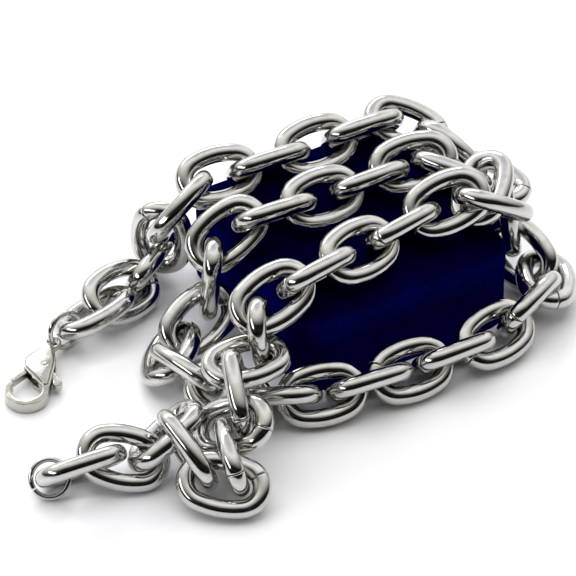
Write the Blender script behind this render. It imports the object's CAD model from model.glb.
"""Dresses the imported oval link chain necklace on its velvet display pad.

Every link, ring and clasp piece takes its place from its own CAD solid. The links and
rings are swept again as smooth wire, the clasp is softened like a cast piece, and the pad
gets a soft form and velvet.
"""
import math

import bmesh
import bpy
import numpy as np
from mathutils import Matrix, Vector, noise


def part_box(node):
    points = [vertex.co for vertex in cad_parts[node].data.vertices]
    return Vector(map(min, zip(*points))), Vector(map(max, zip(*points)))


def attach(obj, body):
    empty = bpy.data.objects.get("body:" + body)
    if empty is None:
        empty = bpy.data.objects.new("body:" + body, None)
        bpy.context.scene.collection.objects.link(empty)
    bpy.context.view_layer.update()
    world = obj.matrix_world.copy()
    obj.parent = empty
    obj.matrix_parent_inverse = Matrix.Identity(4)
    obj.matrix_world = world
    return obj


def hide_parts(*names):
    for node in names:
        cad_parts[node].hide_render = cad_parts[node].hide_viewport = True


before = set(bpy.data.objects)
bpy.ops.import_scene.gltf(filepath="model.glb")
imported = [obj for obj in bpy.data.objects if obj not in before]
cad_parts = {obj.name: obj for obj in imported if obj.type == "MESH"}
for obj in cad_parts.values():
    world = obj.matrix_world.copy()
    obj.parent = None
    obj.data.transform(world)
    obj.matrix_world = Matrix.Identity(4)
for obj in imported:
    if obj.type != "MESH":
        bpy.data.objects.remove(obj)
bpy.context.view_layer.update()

MM = 0.001

# A length that counts as nothing, so that no division is by zero
TINY = 1e-6 * MM

# Wire and link sizes, as in the CAD. A link's slit lies at one of three turns, in degrees.
WIRE_D = 3.6 * MM
LINK_L = 18 * MM
LINK_W = 12.6 * MM
SEAM_W = 0.12 * MM
SEAM_TURNS = (25, 42, -20)
RING_WIRE_D = 1.1 * MM
RING_OD = 8.2 * MM

# Sine and cosine of the lean at which a link's end arcs meet its side arcs
LEAN_SIN = 0.28
LEAN_COS = 0.96

# A corner this close to the middle of a link's slit belongs to it
SLIT_REACH = 0.7 * SEAM_W

# The wire's cut ends are rounded over by this much. The rings of the rounding lie these
# shares of it in from the wire's side and in from the cut face.
CUT_ROUND = 0.16 * MM
CUT_RINGS = ((1, 0), (0.3, 0.3), (0, 1))

# How finely the wires are swept
WIRE_SIDES = 40
LINK_STATIONS = 132
RING_STATIONS = 96

# The clasp's cast pieces: which points count as one, how fine they are, and their smoothing
CAST_MERGE = 0.001 * MM
CAST_VOXEL = 0.1 * MM
CAST_SMOOTHING = 26
CAST_SOFTNESS = 0.6

# The clasp's cheeks lie outside its slot, further than this from its middle. They thin by
# this share from the crease to both edges, as this power of the way there. Crease and edge
# are shares of the clasp's half width.
SLOT_HALF_T = 0.95 * MM
CHEEK_THINNING = 0.6
CHEEK_ROUNDING = 1.6
CHEEK_CREASE = 0.3
CHEEK_EDGE = 0.75

# The rivet's heads, ring by ring: how far below the pin's end each lies, and its radius as
# a share of the pin's
PIN_HEAD = ((0, 0.5), (0.01 * MM, 1), (0.04 * MM, 1.45), (0.1 * MM, 1))
PIN_SIDES = 32

# The pad: radii of its top edge and upright corners, the fall of its crowned top and the
# pull of its sides, each with the power that it grows by, and the depth and size of its
# lumps. A higher PAD_FACE_POWER turns them squarer to their face. Its base has none.
PAD_EDGE = 2 * MM
PAD_CORNER = 7 * MM
PAD_CROWN = 0.2 * MM
PAD_CROWN_POWER = 4
PAD_PULL = 0.5 * MM
PAD_PULL_POWER = 3
PAD_LUMP = 0.16 * MM
PAD_LUMP_SIZE = 9 * MM
PAD_FACE_POWER = 5
PAD_BASE = 0.5 * MM
PAD_CUTS = 70

# Steel: sizes of its bending waves, haze and scratches, depths of waves and scratches, and
# where the haze's three tints lie in its noise
WAVE_SIZE = 4.5 * MM
WAVE_DEPTH = 0.045 * MM
HAZE_SIZE = 2.2 * MM
HAZE_STOPS = (0.3, 0.55, 0.75)
SCRATCH_SIZE = 0.35 * MM
SCRATCH_DEPTH = 0.0012 * MM

# Velvet: size of the slow changes in its nap, size and depth of its pile, and how far below
# the pad's top the pile begins to be pressed flat and is wholly pressed
NAP_SIZE = 12 * MM
PILE_SIZE = 0.4 * MM
PILE_DEPTH = 0.12 * MM
PRESSED_FROM = 2 * MM
PRESSED_WHOLLY = 0.3 * MM

# The table top: half its width in metres, and the size of its faint clouds
TABLE_HALF = 1.6
TABLE_CLOUDS = 60 * MM

# The camera circles a point on the table under the pad. The aim is how far right of and
# above that point the middle of the picture lies, as the camera sees it. Lens and sensor
# are in millimetres, the near and far limits in metres, and the angles in degrees.
VIEW_CENTRE = (20.4 * MM, 10.1 * MM, 0)
VIEW_HEADING = -31
VIEW_RISE = 40
VIEW_DISTANCE = 900 * MM
VIEW_LENS = 286.9
VIEW_NEAR = 0.05
VIEW_FAR = 20
SENSOR = 36
AIM_RIGHT = -11.57 * MM
AIM_UP = 1.08 * MM

# The tent is brightest this way: behind the piece, as the camera sees it, and high. Its
# tones run from 0, straight away from there, to 1.
TENT_BRIGHT_SIDE = (0.3, 0.55, 0.78)
TENT_STRENGTH = 1.32
TENT_TONES = (
    (0, "#050506"), (0.3, "#060607"), (0.45, "#1E1E1D"), (0.56, "#080808"),
    (0.64, "#74726F"), (0.78, "#D4D2CE"), (0.9, "#FFFFFF"), (1, "#C8C8CC"),
)


# Nodes and colours

def linear(hex_colour):
    """An sRGB hex colour as the opaque linear colour that Blender's sockets take."""
    parts = [int(hex_colour[k:k + 2], 16) / 255 for k in (1, 3, 5)]
    return [c / 12.92 if c <= 0.04045 else ((c + 0.055) / 1.055) ** 2.4 for c in parts] + [1]


def add_node(tree, kind, settings=None, links=None):
    """Adds a node, sets its sockets or properties by name, and links its inputs."""
    node = tree.nodes.new(kind)
    for name, value in (settings or {}).items():
        if name in node.inputs:
            node.inputs[name].default_value = value
        else:
            setattr(node, name, value)
    for name, source in (links or {}).items():
        tree.links.new(source, node.inputs[name])
    return node


def new_material(name):
    """An empty material: its node tree, its shader, and where a point of the piece lies."""
    material = bpy.data.materials.new(name)
    material.use_nodes = True
    tree = material.node_tree
    tree.nodes.clear()
    shader = add_node(tree, "ShaderNodeBsdfPrincipled")
    add_node(tree, "ShaderNodeOutputMaterial", links={"Surface": shader.outputs["BSDF"]})
    place = add_node(tree, "ShaderNodeTexCoord").outputs["Object"]
    return material, tree, shader, place


def colour_ramp(tree, source, stops):
    """The colours of a ramp from (position, hex colour) stops."""
    ramp = add_node(tree, "ShaderNodeValToRGB", links={"Fac": source})
    elements = ramp.color_ramp.elements
    for k in (0, -1):
        elements[k].position = stops[k][0]
        elements[k].color = linear(stops[k][1])
    for position, colour in stops[1:-1]:
        elements.new(position).color = linear(colour)
    return ramp.outputs["Color"]


def multiplied(tree, one, other):
    """The product of two colours, whose sockets on this node go by number."""
    mix = add_node(tree, "ShaderNodeMix", {"data_type": "RGBA", "blend_type": "MULTIPLY", "Factor": 1})
    tree.links.new(one, mix.inputs[6])
    tree.links.new(other, mix.inputs[7])
    return mix.outputs[2]


# Materials

def steel(name, haze_colours, roughness):
    """Stainless steel with slow waves, fine scratches and a faint haze. Where the haze is
    thick its tint changes, and its roughness goes from the first value to the second."""
    material, tree, shader, place = new_material(name)
    waves = add_node(
        tree, "ShaderNodeTexNoise", {"Scale": 1 / WAVE_SIZE, "Detail": 1.5}, {"Vector": place},
    )
    haze = add_node(
        tree, "ShaderNodeTexNoise", {"Scale": 1 / HAZE_SIZE, "Detail": 4}, {"Vector": place},
    )
    scratches = add_node(
        tree, "ShaderNodeTexNoise", {"Scale": 1 / SCRATCH_SIZE, "Detail": 3}, {"Vector": place},
    )
    tint = colour_ramp(tree, haze.outputs["Fac"], list(zip(HAZE_STOPS, haze_colours)))
    rough = add_node(
        tree, "ShaderNodeMapRange",
        {
            "From Min": HAZE_STOPS[0], "From Max": HAZE_STOPS[-1],
            "To Min": roughness[0], "To Max": roughness[1],
        },
        {"Value": haze.outputs["Fac"]},
    )
    slow = add_node(tree, "ShaderNodeBump", {"Distance": WAVE_DEPTH}, {"Height": waves.outputs["Fac"]})
    fine = add_node(
        tree, "ShaderNodeBump", {"Distance": SCRATCH_DEPTH},
        {"Height": scratches.outputs["Fac"], "Normal": slow.outputs["Normal"]},
    )
    shader.inputs["Metallic"].default_value = 1
    tree.links.new(tint, shader.inputs["Base Color"])
    tree.links.new(rough.outputs["Result"], shader.inputs["Roughness"])
    tree.links.new(fine.outputs["Normal"], shader.inputs["Normal"])
    return material


def polished_wire():
    """Steel wire, bent and barrel polished: mirror-like, in slow waves left from bending."""
    return steel("barrel polished steel wire", ("#C2C0BA", "#CDCCC9", "#C5C6CA"), (0.1, 0.17))


def tumbled_casting():
    """Cast steel, tumbled but not buffed: its highlights are broad, soft and a little warm."""
    return steel("tumbled cast steel", ("#B0ADA3", "#C0BEB6", "#BAB9B6"), (0.18, 0.26))


def velvet(top):
    """Cotton velvet stretched over foam: a dense navy pile that drinks light and glows a
    little where it is seen edge on. Near the pad's top, which lies at this height, the
    chain presses it flat, and it looks darker."""
    material, tree, shader, place = new_material("navy velvet")
    nap = add_node(
        tree, "ShaderNodeTexNoise", {"Scale": 1 / NAP_SIZE, "Detail": 3}, {"Vector": place},
    )
    # The pile is drawn coarser than real velvet's, so that it shows
    pile = add_node(
        tree, "ShaderNodeTexNoise", {"Scale": 1 / PILE_SIZE, "Detail": 2}, {"Vector": place},
    )
    tone = colour_ramp(tree, nap.outputs["Fac"], [(0.3, "#08085F"), (0.55, "#0A0A70"), (0.75, "#0D0D86")])
    flecks = colour_ramp(tree, pile.outputs["Fac"], [(0.3, "#8C8C8C"), (0.7, "#FFFFFF")])
    height = add_node(tree, "ShaderNodeSeparateXYZ", links={"Vector": place}).outputs["Z"]
    pressed = add_node(
        tree, "ShaderNodeMapRange",
        {"From Min": top - PRESSED_FROM, "From Max": top - PRESSED_WHOLLY},
        {"Value": height},
    )
    pressing = colour_ramp(tree, pressed.outputs["Result"], [(0, "#FFFFFF"), (1, "#8C8C8C")])
    colour = multiplied(tree, multiplied(tree, tone, flecks), pressing)
    bump = add_node(tree, "ShaderNodeBump", {"Distance": PILE_DEPTH}, {"Height": pile.outputs["Fac"]})
    tree.links.new(colour, shader.inputs["Base Color"])
    tree.links.new(bump.outputs["Normal"], shader.inputs["Normal"])
    shader.inputs["Roughness"].default_value = 0.95
    shader.inputs["Specular IOR Level"].default_value = 0
    shader.inputs["Sheen Weight"].default_value = 0.06
    shader.inputs["Sheen Roughness"].default_value = 0.45
    shader.inputs["Sheen Tint"].default_value = linear("#1010A0")
    return material


def white_table():
    """Cast white acrylic sheet with a satin face: nearly white, with a soft reflection."""
    material, tree, shader, place = new_material("white acrylic")
    cloud = add_node(
        tree, "ShaderNodeTexNoise", {"Scale": 1 / TABLE_CLOUDS, "Detail": 2}, {"Vector": place},
    )
    tone = colour_ramp(tree, cloud.outputs["Fac"], [(0.35, "#F4F4F8"), (0.65, "#FBFBFC")])
    tree.links.new(tone, shader.inputs["Base Color"])
    shader.inputs["Roughness"].default_value = 0.32
    return material


# Objects and meshes

def in_scene(name, data):
    """A new object in the scene that holds a mesh, a lamp or a camera."""
    thing = bpy.data.objects.new(name, data)
    bpy.context.scene.collection.objects.link(thing)
    return thing


def points_of(mesh):
    """A mesh's points, a row for each."""
    points = np.zeros(len(mesh.vertices) * 3)
    mesh.vertices.foreach_get("co", points)
    return points.reshape(-1, 3)


def move_points(mesh, points):
    """Puts a mesh's points where the rows say."""
    mesh.vertices.foreach_set("co", points.ravel())
    mesh.update()


def face_outwards(mesh):
    """Turns the faces of a closed mesh outwards."""
    work = bmesh.new()
    work.from_mesh(mesh)
    bmesh.ops.recalc_face_normals(work, faces=work.faces)
    work.to_mesh(mesh)
    work.free()


def new_piece(name, points, faces):
    """A smooth mesh object at the origin with its faces turned outwards."""
    mesh = bpy.data.meshes.new(name)
    mesh.from_pydata(points, [], faces)
    face_outwards(mesh)
    mesh.shade_smooth()
    return in_scene(name, mesh)


def lofted(name, rings):
    """A piece through rings of points. Each point is joined to the next in its ring and to
    the same point of the next ring, and a flat face closes both ends."""
    count, sides = rings.shape[:2]
    here = np.arange(count * sides).reshape(count, sides)
    beside = np.roll(here, -1, 1)
    quads = np.stack([here[:-1], beside[:-1], beside[1:], here[1:]], 2).reshape(-1, 4)
    faces = [*quads.tolist(), here[0, ::-1].tolist(), here[-1].tolist()]
    return new_piece(name, rings.reshape(-1, 3), faces)


def circle(sides, across, other):
    """Directions round a circle: cosine times one axis plus sine times the other."""
    angle = np.linspace(0, 2 * math.pi, sides, endpoint=False)[:, None]
    return np.cos(angle) * across + np.sin(angle) * other


def finish_piece(piece, node, material, body="necklace"):
    """Gives a piece its finish and lets it stand for its CAD node."""
    piece.data.materials.clear()
    piece.data.materials.append(material)
    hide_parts(node)
    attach(piece, body)


# Where a CAD solid lies

def corners(node):
    """A CAD node's triangles: an array of three corners each."""
    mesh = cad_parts[node].data
    mesh.calc_loop_triangles()
    index = np.zeros(len(mesh.loop_triangles) * 3, int)
    mesh.loop_triangles.foreach_get("vertices", index)
    return points_of(mesh)[index].reshape(-1, 3, 3)


def solid_axes(node):
    """A solid's centre of mass and its main directions, longest spread first.

    Each triangle spans a tetrahedron with the middle of all corners. Its volume is a sixth
    of its corners' triple product, its centre is a quarter of their sum, and its spread is
    a twentieth of the products of each corner, and of their sum, with themselves.
    """
    tri = corners(node)
    origin = tri.reshape(-1, 3).mean(0)
    a, b, c = (tri[:, k] - origin for k in range(3))
    volume = np.einsum("ij,ij->i", a, np.cross(b, c)) / 6
    total = a + b + c
    centre = (volume[:, None] * total).sum(0) / 4 / volume.sum()
    second = sum(np.einsum("i,ij,ik->jk", volume, p, p) for p in (a, b, c, total)) / 20
    spread = second - volume.sum() * np.outer(centre, centre)
    directions = np.linalg.eigh(spread)[1].T[::-1]
    return origin + centre, directions


# Links and rings of wire

def outline_arcs():
    """A link's centre line in its own plane: four arcs that run into each other, each as
    its centre, its radius and its first and last angle in degrees."""
    half_l = (LINK_L - WIRE_D) / 2
    half_w = (LINK_W - WIRE_D) / 2
    bend_gap = (half_l - half_w) / (LEAN_SIN + LEAN_COS - 1)
    end_x = LEAN_SIN * bend_gap
    side_y = LEAN_COS * bend_gap
    end_r = half_l - end_x
    side_r = end_r + bend_gap
    lean = math.degrees(math.atan2(LEAN_SIN, LEAN_COS))
    return [
        ((end_x, 0), end_r, lean - 90, 90 - lean),
        ((0, -side_y), side_r, 90 - lean, 90 + lean),
        ((-end_x, 0), end_r, 90 + lean, 270 - lean),
        ((0, side_y), side_r, 270 - lean, 270 + lean),
    ]


def outline_from(arcs, turn, stations):
    """Points and directions at even steps round a closed run of arcs, from the slit at turn
    degrees on the first arc round to the slit again. A point lies one radius from its arc's
    centre, at the angle that the way gone along that arc gives, and its direction is a
    quarter turn on."""
    middle, r, first, last = arcs[0]
    runs = [(middle, r, turn, last), *arcs[1:], (middle, r, first, turn)]
    centre = np.array([run[0] for run in runs])
    radius, start, end = np.array([run[1:] for run in runs]).T
    ends = np.cumsum([0, *(radius * np.radians(end - start))])
    way = np.linspace(SEAM_W / 2, ends[-1] - SEAM_W / 2, stations)
    k = np.minimum(np.searchsorted(ends, way, side="right") - 1, len(runs) - 1)
    at = np.radians(start[k]) + (way - ends[k]) / radius[k]
    outward = np.c_[np.cos(at), np.sin(at)]
    return centre[k] + radius[k, None] * outward, np.c_[-outward[:, 1], outward[:, 0]]


def swept_wire(node, metal, centre, x_axis, y_axis, outline, wire_d):
    """The round wire that stands for a node, along a flat outline of points and directions,
    with rounded cut ends that face each other. Each ring is a circle round a point of the
    outline, square to it. The rings at both ends are smaller and closer."""
    points, ways = outline
    normal = np.cross(x_axis, y_axis)
    path = centre + points[:, :1] * x_axis + points[:, 1:] * y_axis
    course = ways[:, :1] * x_axis + ways[:, 1:] * y_axis
    last = len(path) - 1
    inward, ahead = CUT_ROUND * np.array(CUT_RINGS).T
    shrink = 1 - inward / (wire_d / 2)
    station = np.r_[[0] * len(ahead), 1:last, [last] * len(ahead)]
    radius = wire_d / 2 * np.r_[shrink, np.ones(last - 1), shrink[::-1]]
    shift = np.r_[ahead, np.zeros(last - 1), -ahead[::-1]]
    middle = path[station] + shift[:, None] * course[station]
    out = np.cross(course, normal)[station]
    rings = middle[:, None] + radius[:, None, None] * circle(WIRE_SIDES, out[:, None], normal)
    finish_piece(lofted("wire_" + node, rings), node, metal)


def slit_side(flat, arcs, turn):
    """Which of the four ways round a link lies, as the signs of its two axes: the one with
    the most corners in its slit."""
    middle, r = arcs[0][:2]
    out = np.array([math.cos(math.radians(turn)), math.sin(math.radians(turn))])
    across = np.array([-out[1], out[0]])

    def corners_in_slit(signs):
        spot = flat * signs - middle
        return ((np.abs(spot @ across) < SLIT_REACH) & (np.abs(spot @ out - r) < WIRE_D / 2)).sum()

    return max([(1, 1), (1, -1), (-1, -1), (-1, 1)], key=corners_in_slit)


def make_link(node, metal):
    """The smooth wire link that stands for a CAD link."""
    arcs = outline_arcs()
    turn = SEAM_TURNS[int(node[-2:]) % len(SEAM_TURNS)]
    centre, (x_axis, y_axis, _) = solid_axes(node)
    local = corners(node).reshape(-1, 3) - centre
    x_sign, y_sign = slit_side(np.c_[local @ x_axis, local @ y_axis], arcs, turn)
    outline = outline_from(arcs, turn, LINK_STATIONS)
    swept_wire(node, metal, centre, x_axis * x_sign, y_axis * y_sign, outline, WIRE_D)


def make_ring(node, metal):
    """The smooth wire ring that stands for a CAD jump ring. Its slit is where the CAD's
    corners, by their angle to a hundredth of a degree, crowd closest."""
    r = (RING_OD - RING_WIRE_D) / 2
    centre, (x_axis, y_axis, _) = solid_axes(node)
    local = corners(node).reshape(-1, 3) - centre
    around = np.degrees(np.arctan2(local @ y_axis, local @ x_axis)) % 360
    around = np.unique(around.round(2))
    apart = np.abs((around[:, None] - around + 180) % 360 - 180)
    crowd = (apart < math.degrees(SEAM_W / r)).sum(0)
    turn = around[crowd == crowd.max()].mean()
    arcs = [((0, 0), r, turn - 90, turn + 90), ((0, 0), r, turn + 90, turn + 270)]
    outline = outline_from(arcs, turn, RING_STATIONS)
    swept_wire(node, metal, centre, x_axis, y_axis, outline, RING_WIRE_D)


# The clasp

def bevel_cheeks(mesh, node, pin_node):
    """Slopes the clasp's cheeks down from a crease, which lies towards the rivet, to both
    long sides. What stands outside the slot thins by a share that grows as a power of the
    way from the crease."""
    centre, (_, across, through) = solid_axes(node)
    if (solid_axes(pin_node)[0] - centre) @ across < 0:
        across = -across
    points = points_of(mesh)
    sideways = (points - centre) @ across
    depth = (points - centre) @ through
    past = sideways / np.abs(sideways).max() - CHEEK_CREASE
    reach = np.where(past > 0, CHEEK_EDGE - CHEEK_CREASE, CHEEK_EDGE + CHEEK_CREASE)
    slope = np.clip(np.abs(past) / reach, 0, 1) ** CHEEK_ROUNDING
    cheek = np.maximum(0, np.abs(depth) - SLOT_HALF_T)
    thinned = np.copysign(cheek * CHEEK_THINNING * slope, depth)
    move_points(mesh, points - thinned[:, None] * through)


def keep_largest_part(mesh):
    """Deletes the specks that the voxels leave: all but the largest joined part stays."""
    work = bmesh.new()
    work.from_mesh(mesh)
    left = set(work.verts)
    largest = set()
    while left:
        border = {left.pop()}
        part = set(border)
        while border:
            border = {edge.other_vert(v) for v in border for edge in v.link_edges} & left
            left -= border
            part |= border
        largest = max(largest, part, key=len)
    bmesh.ops.delete(work, geom=[v for v in work.verts if v not in largest], context="VERTS")
    work.to_mesh(mesh)
    work.free()


def make_cast(node, metal, body="necklace", pin_node=None):
    """A clasp piece softened from its CAD solid, as a cast and tumbled piece is. One with a
    rivet gets bevelled cheeks."""
    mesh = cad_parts[node].data.copy()
    work = bmesh.new()
    work.from_mesh(mesh)
    bmesh.ops.remove_doubles(work, verts=work.verts, dist=CAST_MERGE)
    work.to_mesh(mesh)
    work.free()
    piece = in_scene("cast_" + node, mesh)
    remesh = piece.modifiers.new("voxels", "REMESH")
    remesh.mode = "VOXEL"
    remesh.voxel_size = CAST_VOXEL
    smooth = piece.modifiers.new("tumbling", "SMOOTH")
    smooth.factor = CAST_SOFTNESS
    smooth.iterations = CAST_SMOOTHING
    shape = piece.evaluated_get(bpy.context.evaluated_depsgraph_get())
    piece.data = bpy.data.meshes.new_from_object(shape)
    piece.modifiers.clear()
    keep_largest_part(piece.data)
    if pin_node:
        bevel_cheeks(piece.data, node, pin_node)
    piece.data.shade_smooth()
    finish_piece(piece, node, metal, body)


def make_pin(node, metal):
    """The rivet, turned about the CAD pin's own axis: rings at the profile's heights and
    radii, with a low head at both ends that covers the pin's clearance."""
    centre, (axis, across, other) = solid_axes(node)
    local = corners(node).reshape(-1, 3) - centre
    half = np.abs(local @ axis).max()
    r = np.abs(local @ across).max()
    head = [(half - below, share * r) for below, share in PIN_HEAD]
    profile = np.array(head + [(-height, radius) for height, radius in reversed(head)])
    height, radius = profile.T[:, :, None, None]
    rings = centre + height * axis + radius * circle(PIN_SIDES, across, other)
    finish_piece(lofted("rivet_" + node, rings), node, metal)


# The pad

def rounded_box(points, half_l, half_w, height):
    """Where the points of a plain box lie once its corners and top edge are rounded. A
    point past the upright core keeps its direction from it, and its reach becomes the
    larger of its two sides. At the top edge the same is done once more, upwards."""
    core = np.array([half_l, half_w]) - PAD_CORNER
    inner = np.clip(points[:, :2], -core, core)
    side = points[:, :2] - inner
    reach = np.abs(side).max(1)
    side *= (reach / np.maximum(np.hypot(*side.T), TINY))[:, None]
    over = reach - (PAD_CORNER - PAD_EDGE)
    above = points[:, 2] - (height - PAD_EDGE)
    drawn_in = np.maximum(over, above) / np.maximum(np.hypot(over, above), TINY)
    drawn_in = np.where((over > 0) & (above > 0), drawn_in, 1)
    side *= (1 - over * (1 - drawn_in) / np.maximum(reach, TINY))[:, None]
    return np.c_[inner + side, height - PAD_EDGE + above * drawn_in]


def make_pad(node, cloth):
    """The velvet pad: a foam block with soft edges, a crowned top and sides that pull in.

    u and w run from -1 to 1 over the pad, and rise from 0 to 1 up it. The top falls with a
    power of the larger of u and w. A side is drawn in most half way up and half way along,
    as a sine of rise times one less the square of u or w, and points further in follow it
    by a power of the other. Noise then sinks each point above the base, nearly square to
    its own face.
    """
    low, high = (np.array(corner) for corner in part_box(node))
    half_l, half_w, _ = (high - low) / 2
    height = high[2] - low[2]
    work = bmesh.new()
    bmesh.ops.create_cube(work, size=2)
    bmesh.ops.subdivide_edges(work, edges=work.edges, cuts=PAD_CUTS, use_grid_fill=True)
    mesh = bpy.data.meshes.new("velvet_pad")
    work.to_mesh(mesh)
    work.free()
    x, y, z = points_of(mesh).T
    spot = rounded_box(np.c_[x * half_l, y * half_w, (z + 1) / 2 * height], half_l, half_w, height)
    u = spot[:, 0] / half_l
    w = spot[:, 1] / half_w
    rise = spot[:, 2] / height
    waist = np.sin(math.pi * np.clip(rise, 0, 1))
    spot[:, 0] -= PAD_PULL * (1 - w * w) * u ** PAD_PULL_POWER * waist
    spot[:, 1] -= PAD_PULL * (1 - u * u) * w ** PAD_PULL_POWER * waist
    spot[:, 2] -= PAD_CROWN * np.maximum(np.abs(u), np.abs(w)) ** PAD_CROWN_POWER * rise
    soft = spot[:, 2] > PAD_BASE
    face = np.c_[u ** PAD_FACE_POWER, w ** PAD_FACE_POWER, rise][soft]
    face /= np.linalg.norm(face, axis=1)[:, None]
    lumps = np.array([noise.noise(Vector(place)) for place in spot[soft] / PAD_LUMP_SIZE])
    spot[soft] += PAD_LUMP * (lumps[:, None] - 1) / 2 * face
    move_points(mesh, spot + [(low[0] + high[0]) / 2, (low[1] + high[1]) / 2, low[2]])
    face_outwards(mesh)
    mesh.shade_smooth()
    piece = in_scene("velvet_pad", mesh)
    finish_piece(piece, node, cloth)


# Table, lamps and camera

def make_table():
    """The plain white table top."""
    ends = [(-1, -1), (1, -1), (1, 1), (-1, 1)]
    table = new_piece("table_top", [(TABLE_HALF * x, TABLE_HALF * y, 0) for x, y in ends], [(0, 1, 2, 3)])
    table.data.materials.append(white_table())


def area_light(name, place, size, power, mirrored=True):
    """A soft box, turned to the origin: place and size in metres, power in watts. One that
    isn't mirrored lights the table but shows in no metal."""
    light = bpy.data.lights.new(name, "AREA")
    light.shape = "RECTANGLE"
    light.size, light.size_y = size
    light.energy = power
    lamp = in_scene(name, light)
    lamp.location = place
    lamp.rotation_mode = "QUATERNION"
    lamp.rotation_quaternion = (-Vector(place)).to_track_quat("-Z", "Y")
    lamp.visible_glossy = mirrored


def studio_world():
    """The tent round the table: bright behind and above the piece, dark where the camera
    stands, which gives polished metal its soft grey sides and black streaks."""
    world = bpy.data.worlds.new("studio tent")
    world.use_nodes = True
    tree = world.node_tree
    tree.nodes.clear()
    way = add_node(tree, "ShaderNodeTexCoord").outputs["Generated"]
    toward = add_node(tree, "ShaderNodeVectorMath", {"operation": "DOT_PRODUCT"}, {0: way})
    toward.inputs[1].default_value = Vector(TENT_BRIGHT_SIDE).normalized()
    share = add_node(
        tree, "ShaderNodeMapRange", {"From Min": -1, "From Max": 1}, {"Value": toward.outputs["Value"]},
    )
    tone = colour_ramp(tree, share.outputs["Result"], TENT_TONES)
    glow = add_node(tree, "ShaderNodeBackground", {"Strength": TENT_STRENGTH}, {"Color": tone})
    add_node(tree, "ShaderNodeOutputWorld", links={"Surface": glow.outputs["Background"]})
    bpy.context.scene.world = world


def make_camera():
    """The camera at the photograph's viewing angle. It stands on a ray from the point that
    it circles, and looks at the aim beside that point."""
    base = Vector(VIEW_CENTRE)
    heading = math.radians(VIEW_HEADING)
    rise = math.radians(VIEW_RISE)
    back = Vector((math.sin(heading) * math.cos(rise), -math.cos(heading) * math.cos(rise), math.sin(rise)))
    right = Vector((math.cos(heading), math.sin(heading), 0))
    up = back.cross(right)
    place = base + back * VIEW_DISTANCE
    aim = base + right * AIM_RIGHT + up * AIM_UP
    data = bpy.data.cameras.new("photo_camera")
    data.lens = VIEW_LENS
    data.sensor_width = SENSOR
    data.clip_start = VIEW_NEAR
    data.clip_end = VIEW_FAR
    camera = in_scene("photo_camera", data)
    camera.location = place
    camera.rotation_mode = "QUATERNION"
    camera.rotation_quaternion = (aim - place).to_track_quat("-Z", "Y")
    bpy.context.scene.camera = camera


# The whole scene

make_camera()
studio_world()
make_table()
area_light("overhead fill", place=(0.05, 0.15, 0.9), size=(1.1, 0.9), power=4.5, mirrored=False)
area_light("back strip", place=(0.1, 0.75, 0.55), size=(0.9, 0.14), power=2.6)
area_light("left strip", place=(-0.75, 0.05, 0.4), size=(0.7, 0.1), power=1.6)

wire = polished_wire()
casting = tumbled_casting()
for node_name in sorted(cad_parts):
    if node_name.startswith("link_"):
        make_link(node_name, wire)
make_ring("clasp_ring", wire)
make_ring("end_ring", wire)
make_cast("clasp_body", casting, pin_node="clasp_pin")
make_cast("clasp_lever", casting, body="lever")
make_pin("clasp_pin", casting)
make_pad("pad", velvet(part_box("pad")[1].z))

bpy.context.scene.view_settings.view_transform = "Standard"
